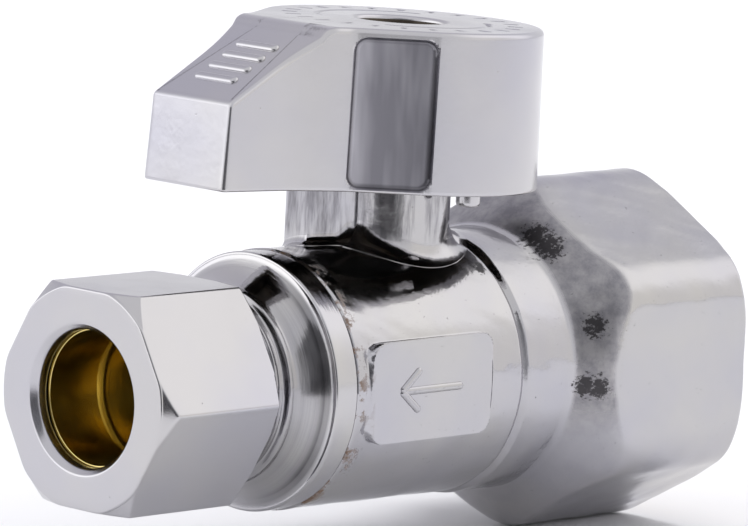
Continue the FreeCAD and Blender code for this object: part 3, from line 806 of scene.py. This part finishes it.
def hubPlan():
    # half of the plan at the rim, from the middle of the lever's end round to the back of the hub, and how
    # far each point moves when the skin moves in by a millimetre: the mitre of the two sides' normals
    h = handleTweaks
    start = math.radians(h["hubStart"])
    turn = clustered(start, math.pi / 2, h["hubColumns"], [start], 0.05, 4)
    hub = h["hub"] * np.stack([np.cos(turn), np.sin(turn)], axis=-1)
    sides = roundedOutline([(0, h["leverEnd"], 0), (h["endHalf"], h["leverEnd"], h["endCorner"]),
                            (*h["knee"], 1.6), (*h["flare"], 0.35), (*hub[0], 0)], h["step"])
    base = np.concatenate([sides[:-1], hub])
    along = np.diff(np.concatenate([base[1:2] * [-1, 1], base, base[-2:-1] * [-1, 1]]), axis=0)
    normal = np.stack([along[:, 1], -along[:, 0]], axis=-1) / np.linalg.norm(along, axis=1)[:, None]
    before, after = normal[:-1], normal[1:]
    move = -(before + after) / (1 + np.sum(before * after, axis=1))[:, None]
    return base, move


planBase, planMove = hubPlan()


def handleOutline(inset, lean=0.0):  # the half plan moved in by inset and the lever's end leaned back
    inset = np.broadcast_to(inset, len(planBase))
    lean = np.broadcast_to(lean, len(planBase))
    return planBase + planMove * inset[:, None] + np.stack([np.zeros_like(lean), lean], axis=-1)


def wholeOutline(half):  # adds the other half, mirrored, without its two shared columns
    other = half[::-1][1:-1] * np.array([-1, 1])
    return np.concatenate([half, other])


def topHeight(x, y):
    # the handle's top: a straight slope up the lever with a slight step in it near its crest, and the flat
    # hub
    h = handleTweaks
    lever = h["endHeight"] + h["slope"] * (y - h["leverEnd"] - h["endLean"])
    lever = lever + h["creaseRise"] * smoothStep(h["crease"][0], h["crease"][1], y)
    return softMin(lever, h["plateau"], h["crestWidth"])


def topRelief(x, y):
    # on the hub a sunk ring of short ticks and two curved bars
    h = handleTweaks
    radius, turn = np.hypot(x, y), np.arctan2(y, x)
    tick = (turn * h["ticks"] / (2 * math.pi) + 0.5) % 1 - 0.5
    tick = tick * 2 * math.pi / h["ticks"] * radius
    ticks = boxDistance(tick, radius - h["tickCircle"], *h["tickHalf"], 0.1)
    spread = (turn / math.pi + 0.5) % 1 - 0.5
    arcs = boxDistance(spread * math.pi * radius, radius - h["arcCircle"], *h["arcHalf"], 0.15)
    return -h["markDepth"] * smoothStep(0.12, -0.12, np.minimum(ticks, arcs))


def pocketed(half, z):
    # the pocket in the hub's flank: between the flare and the start of the hub's circle the skin sinks
    # along the normal to the line between them, by a shelf and a shallow parabola, within a rounded
    # rectangle
    h = handleTweaks
    axis, inward, length, middle, reach = pocketFrame()
    along = (half - np.array(h["flare"])) @ axis - length / 2
    inside = -boxDistance(along, z - middle, length / 2 - 0.05, reach, h["pocketCorner"])
    edge = np.clip(inside / h["pocketEdge"], 0, 1)
    bowl = h["pocketFloor"] + (1 - h["pocketFloor"]) * (1 - (2 * along / length) ** 2)
    depth = h["pocketDepth"] * bowl * np.sqrt(1 - (1 - edge) ** 2)
    near = np.arange(len(half)) < len(half) - h["hubColumns"] + 1
    return half + np.where(near, depth, 0)[:, None] * inward


def tilted(points):  # sets the skin nose-up on its stem, about a level line through the stem's axis
    h = handleTweaks
    c, s = math.cos(h["noseUp"]), math.sin(h["noseUp"])
    y, z = points[..., 1], points[..., 2] - h["tiltHeight"]
    return np.stack([points[..., 0], y * c + z * s, z * c - y * s + h["tiltHeight"]], axis=-1)


def level(half, z):  # a whole ring of the skin from half of one and its heights
    return np.concatenate([wholeOutline(half), wholeOutline(np.stack([z, z], -1))[:, 1:]], axis=1)


def handleShell():
    h = handleTweaks
    rim, edge = h["rim"], h["edge"]
    cornerEnd = h["leverEnd"] + h["endCorner"]
    facing = smoothStep(cornerEnd, h["leverEnd"], planBase[:, 1])
    leanRate = facing * (h["endLean"] / (h["endHeight"] - rim) - h["draft"])
    guess = handleOutline(h["draft"] * h["hollowHeight"] + edge)
    top = topHeight(guess[:, 0], guess[:, 1])
    outside = []

    def skinRing(z, inset):  # the plan moved in by the draft at that height, and by inset more
        return handleOutline(h["draft"] * (z - rim) + inset, leanRate * (z - rim))

    lip = h["lip"]
    for bend in np.linspace(1, 0, 5) * math.pi / 2:
        z = np.full(len(planBase), rim + lip * (1 - math.sin(bend)))
        outside.append(level(skinRing(z, lip * (1 - math.cos(bend))), z))
    for share in clustered(0, 1, 48, [0.03, 0.07, 0.95, 0.985], 0.03, 3.5)[1:]:
        z = rim + lip + (top - edge - rim - lip) * share
        outside.append(level(pocketed(skinRing(z, 0.0), z), z))
    for bend in np.linspace(0, 1, 9)[1:] * math.pi / 2:
        half = skinRing(top - edge, edge * (1 - math.cos(bend)))
        outside.append(level(half, topHeight(half[:, 0], half[:, 1]) - edge * (1 - math.sin(bend))))
    rimOfTop = outside[-1]
    turn = np.arctan2(rimOfTop[:, 1], rimOfTop[:, 0])
    lift = h["plateau"] - h["tiltHeight"]
    bevel = h["holeEdge"]
    holeX = (h["hole"] + bevel) * np.cos(turn)
    holeY = ((h["hole"] + bevel) * np.sin(turn) - lift * math.sin(h["noseUp"])) / math.cos(h["noseUp"])
    for share in np.linspace(0, 1, 72)[1:]:
        x = rimOfTop[:, 0] + (holeX - rimOfTop[:, 0]) * share
        y = rimOfTop[:, 1] + (holeY - rimOfTop[:, 1]) * share
        outside.append(np.stack([x, y, topHeight(x, y) + topRelief(x, y)], axis=-1))
    skin = tilted(np.array(outside))
    turn = np.arctan2(skin[-1, :, 1], skin[-1, :, 0])
    mouth = skin[-1, :, 2]
    bores = []
    for bend in np.linspace(0, 1, 5)[1:] * math.pi / 2:
        radius = h["hole"] + bevel - bevel * math.sin(bend)
        bores.append(aroundZ(radius, turn, mouth - bevel * (1 - math.cos(bend))))
    for share in (0.12, 0.35, 0.65, 0.9):
        bores.append(aroundZ(h["hole"], turn, mouth - bevel + (h["holeFloor"] - mouth + bevel) * share))
    bores.append(aroundZ(h["hole"], turn, h["holeFloor"]))
    bores.append(aroundZ(h["screwHole"], turn, h["holeFloor"]))
    bores.append(aroundZ(h["screwHole"], turn, h["socketTop"]))
    square = h["socketHalf"] / np.maximum(np.abs(np.cos(turn)), np.abs(np.sin(turn)))
    bores.append(aroundZ(square, turn, h["socketTop"]))
    bores.append(aroundZ(square, turn, h["bossBottom"]))
    bores.append(aroundZ(h["boss"] - h["bossEdge"], turn, h["bossBottom"]))
    bores.append(aroundZ(h["boss"], turn, h["bossBottom"] + h["bossEdge"]))
    inner = []
    drawn, lean = h["draft"] * h["hollowHeight"], leanRate * h["leanHeight"]
    ceilingEdge = wholeOutline(handleOutline(h["wall"] + drawn, lean))
    bossX = h["boss"] * np.cos(turn)
    bossY = h["boss"] * np.sin(turn)
    for share in (0.0, 0.15, 0.35, 0.55, 0.75, 0.93):
        x = bossX + (ceilingEdge[:, 0] - bossX) * share
        y = bossY + (ceilingEdge[:, 1] - bossY) * share
        inner.append(np.stack([x, y, topHeight(x, y) - h["ceiling"]], axis=-1))
    under = topHeight(ceilingEdge[:, 0], ceilingEdge[:, 1]) - h["ceiling"] - 0.5
    for share in (0.0, 0.25, 0.5, 0.75, 0.97, 1.0):
        z = under + (rim - under) * share
        flared = 0.12 if share == 1.0 else 0
        ring = wholeOutline(handleOutline(h["wall"] + drawn * (1 - share) - flared, lean * (1 - share)))
        inner.append(np.stack([ring[:, 0], ring[:, 1], z], axis=-1))
    hollow = tilted(np.array(inner))
    points = np.concatenate([skin, np.array(bores), hollow])
    slots = np.concatenate([np.zeros(len(skin) + 3), np.ones(len(bores) - 3 + len(hollow) - 1), [0]])
    return points, slots


def pinShell(angle):  # a stop pin: an upright rod with a round lower end, from inside the ceiling down
    h = handleTweaks
    angle = math.radians(angle)
    centre = (h["pinCircle"] * math.cos(angle), h["pinCircle"] * math.sin(angle))
    outline = roundedOutline([(0.02, h["pinBottom"], 0), (h["pin"], h["pinBottom"], 0.35),
                              (h["pin"], h["pinTop"], 0), (0.02, h["pinTop"], 0)], 0.4)
    turn = np.linspace(0, 2 * math.pi, 40, endpoint=False)[None]
    return aroundZ(outline[:, :1], turn, outline[:, 1:], centre)


def slopeBars():  # plain straight bars across the lever's slope
    h = handleTweaks
    rise = math.atan(h["slope"])
    upSlope = (0, math.cos(rise), math.sin(rise))
    return [tilted(raisedBar((0, y, topHeight(0, y)), (1, 0, 0), upSlope, h["barHalf"], h["barWidth"],
                             h["barHeight"])) for y in h["bars"]]


shells = [handleShell()] + [(pinShell(angle), 0) for angle in handleTweaks["pinAngles"]]
shells += [(bar, 0) for bar in slopeBars()]
leverHandle = makePiece("leverHandle", shells, [handleChrome, handleInsidePaintedDark])
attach(leverHandle, "lever")
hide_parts("handle")
print("handle made")

# the pieces inside keep their own shapes
ballChrome = plate("ballChrome", {
    "cool": (0.64, 0.64, 0.66), "warm": (0.68, 0.67, 0.67), "tintScale": 80, "glossScale": 90,
    "glossy": 0.04, "dull": 0.1, "pitScale": 1200, "peelScale": 500, "peel": 0.002,
    "lines": (600, 600, 600), "lineDepth": 0.0006})
zincSteel = plate("zincSteel", {
    "cool": (0.50, 0.51, 0.54), "warm": (0.58, 0.57, 0.55), "tintScale": 300, "glossScale": 500,
    "glossy": 0.2, "dull": 0.38, "pitScale": 1500, "peelScale": 2000, "peel": 0.004,
    "lines": (3000, 3000, 400), "lineDepth": 0.003})
seatPolymer = softFinish("seatPolymer", {"dark": (0.78, 0.78, 0.75), "light": (0.88, 0.88, 0.86),
                                         "shadeScale": 200, "glossy": 0.3, "dull": 0.45, "grainScale": 2500,
                                         "grain": 0.004})
ringRubber = softFinish("ringRubber", {"dark": (0.012, 0.012, 0.013), "light": (0.03, 0.03, 0.03),
                                       "shadeScale": 400, "glossy": 0.35, "dull": 0.6, "grainScale": 3500,
                                       "grain": 0.006})
insideFinishes = {
    "ball": ballChrome, "stem": turnedBrass,
    "inlet_seat": seatPolymer, "outlet_seat": seatPolymer, "stem_thrust_washer": seatPolymer,
    "connector_o_ring": ringRubber, "lower_stem_o_ring": ringRubber, "upper_stem_o_ring": ringRubber,
    "handle_screw": zincSteel, "handle_lock_washer": zincSteel,
}
for node, finish in insideFinishes.items():
    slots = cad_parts[node].material_slots
    for slot in slots:
        slot.material = finish
    if not slots:
        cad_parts[node].data.materials.append(finish)
print("inside pieces finished")


def emptyStage():
    floorTweaks = {"size": 3.0, "shade": (0.86, 0.86, 0.87)}
    low = cadBox[0].z - 0.00002
    half = floorTweaks["size"]
    mesh = bpy.data.meshes.new("studioFloor")
    mesh.from_pydata([(-half, -half, low), (half, -half, low), (half, half, low), (-half, half, low)], [],
                     [(0, 1, 2, 3)])
    floor = addObject("studioFloor", mesh)
    material, tree, add, shader, place = newFinish("floorPaper")
    shade = remap(add, noise(add, place, 30, 3), 0.3, 0.7, 0, 1)
    dark = tuple(c - 0.01 for c in floorTweaks["shade"])
    tree.links.new(mixed(add, shade, dark, floorTweaks["shade"]), shader.inputs["Base Color"])
    shader.inputs["Roughness"].default_value = 0.85
    shader.inputs["Specular IOR Level"].default_value = 0.15
    mesh.materials.append(material)


# Each soft panel of the studio brightens or darkens the sky round one direction, from reach degrees away.
skyTweaks = {
    "base": (0.86, 0.86, 0.89), "strength": 1.0,
    "panels": [
        {"towards": (-0.70, -0.70, -0.02), "inner": 20, "outer": 48, "colour": (1.75, 1.75, 1.78)},
        {"towards": (0.45, 0.72, 0.52), "inner": 16, "outer": 42, "colour": (1.35, 1.33, 1.34)},
        {"towards": (0.80, 0.55, 0.05), "inner": 10, "outer": 40, "colour": (1.0, 0.98, 0.96)},
        {"towards": (-0.69, 0.30, 0.66), "inner": 14, "outer": 46, "colour": (0.66, 0.65, 0.72)},
        {"towards": (0.69, -0.71, 0.05), "inner": 14, "outer": 34, "colour": (0.06, 0.06, 0.07)},
    ],
}


def softSky():
    world = bpy.data.worlds.new("softStudio")
    bpy.context.scene.world = world
    world.use_nodes = True
    tree, add = joinNodes(world)
    tree.nodes.clear()
    towards = add("TexCoord").outputs["Generated"]
    colour = tuple(skyTweaks["base"])
    for panel in skyTweaks["panels"]:
        direction = Vector(panel["towards"]).normalized()
        facing = add("VectorMath", {"operation": "DOT_PRODUCT"}, i0=towards, i1=tuple(direction))
        edge, full = (math.cos(math.radians(panel[key])) for key in ("outer", "inner"))
        share = remap(add, facing.outputs["Value"], edge, full, 0, 1, "SMOOTHSTEP")
        colour = mixed(add, share, colour, panel["colour"])
    background = add("Background", Color=colour, Strength=skyTweaks["strength"])
    tree.links.new(background.outputs[0], add("OutputWorld").inputs[0])


def darkCard():
    # an upright dark panel in front of the valve that only the reflections show
    c = {"left": (24, -138), "right": (130, -52), "top": 88.0, "shade": (0.075, 0.073, 0.08),
         "pale": (0.2, 0.2, 0.215), "end": (0.6, 0.6, 0.62), "fade": (0.092, 0.13)}
    low = cadBox[0].z
    corners = [(c["left"], low), (c["right"], low), (c["right"], c["top"] * mm), (c["left"], c["top"] * mm)]
    mesh = bpy.data.meshes.new("darkCard")
    mesh.from_pydata([(x * mm, (y + ballY) * mm, z) for (x, y), z in corners], [], [(0, 1, 2, 3)])
    card = addObject("darkCard", mesh)
    material, tree, add, shader, place = newFinish("darkCard")
    shade = remap(add, noise(add, place, 14, 2), 0.38, 0.62, 0, 1)
    shader.inputs["Base Color"].default_value = (0, 0, 0, 1)
    shader.inputs["Specular IOR Level"].default_value = 0
    toRight = remap(add, add("SeparateXYZ", Vector=place).outputs["X"], *c["fade"], 0, 1)
    glow = mixed(add, toRight, mixed(add, shade, c["shade"], c["pale"]), c["end"])
    tree.links.new(glow, shader.inputs["Emission Color"])
    shader.inputs["Emission Strength"].default_value = 1
    mesh.materials.append(material)
    card.visible_camera = card.visible_shadow = card.visible_diffuse = False


def softLamp(name, place, size, power):
    lamp = bpy.data.lights.new(name, "AREA")
    lamp.shape, lamp.size, lamp.energy = "DISK", size, power
    holder = addObject(name, lamp)
    away = Vector(place)
    holder.location = away
    holder.rotation_euler = away.to_track_quat("Z", "Y").to_euler()
    holder.visible_camera = holder.visible_glossy = False


def viewCamera():
    # azimuth is counted round from straight in front of the outlet, and roll turns the view about its
    # centre
    view = {"azimuth": 44.166, "elevation": 8.004, "roll": 2.762, "distance": 500.0, "across": -0.708,
            "up": 7.663, "lens": 324.5}
    a, e, roll = (math.radians(view[k]) for k in ("azimuth", "elevation", "roll"))
    back = Vector((math.sin(a) * math.cos(e), -math.cos(a) * math.cos(e), math.sin(e)))
    level = Vector((math.cos(a), math.sin(a), 0))
    upright = back.cross(level)
    right = level * math.cos(roll) + upright * math.sin(roll)
    up = upright * math.cos(roll) - level * math.sin(roll)
    place = right * view["across"] + up * view["up"] + back * view["distance"]
    place = (place + Vector((0, ballY, 0))) * mm
    camera = addObject("camera", bpy.data.cameras.new("camera"))
    camera.matrix_world = Matrix((
        (right.x, up.x, back.x, place.x), (right.y, up.y, back.y, place.y),
        (right.z, up.z, back.z, place.z), (0, 0, 0, 1)))
    camera.data.lens = view["lens"]
    camera.data.sensor_width = 36
    camera.data.clip_start, camera.data.clip_end = 0.01, 20
    bpy.context.scene.camera = camera


emptyStage()
softSky()
darkCard()
softLamp("topLamp", (-0.25, 0.1, 0.9), 0.7, 4.0)
viewCamera()
bpy.context.scene.view_settings.view_transform = "Standard"
print("stage ready")
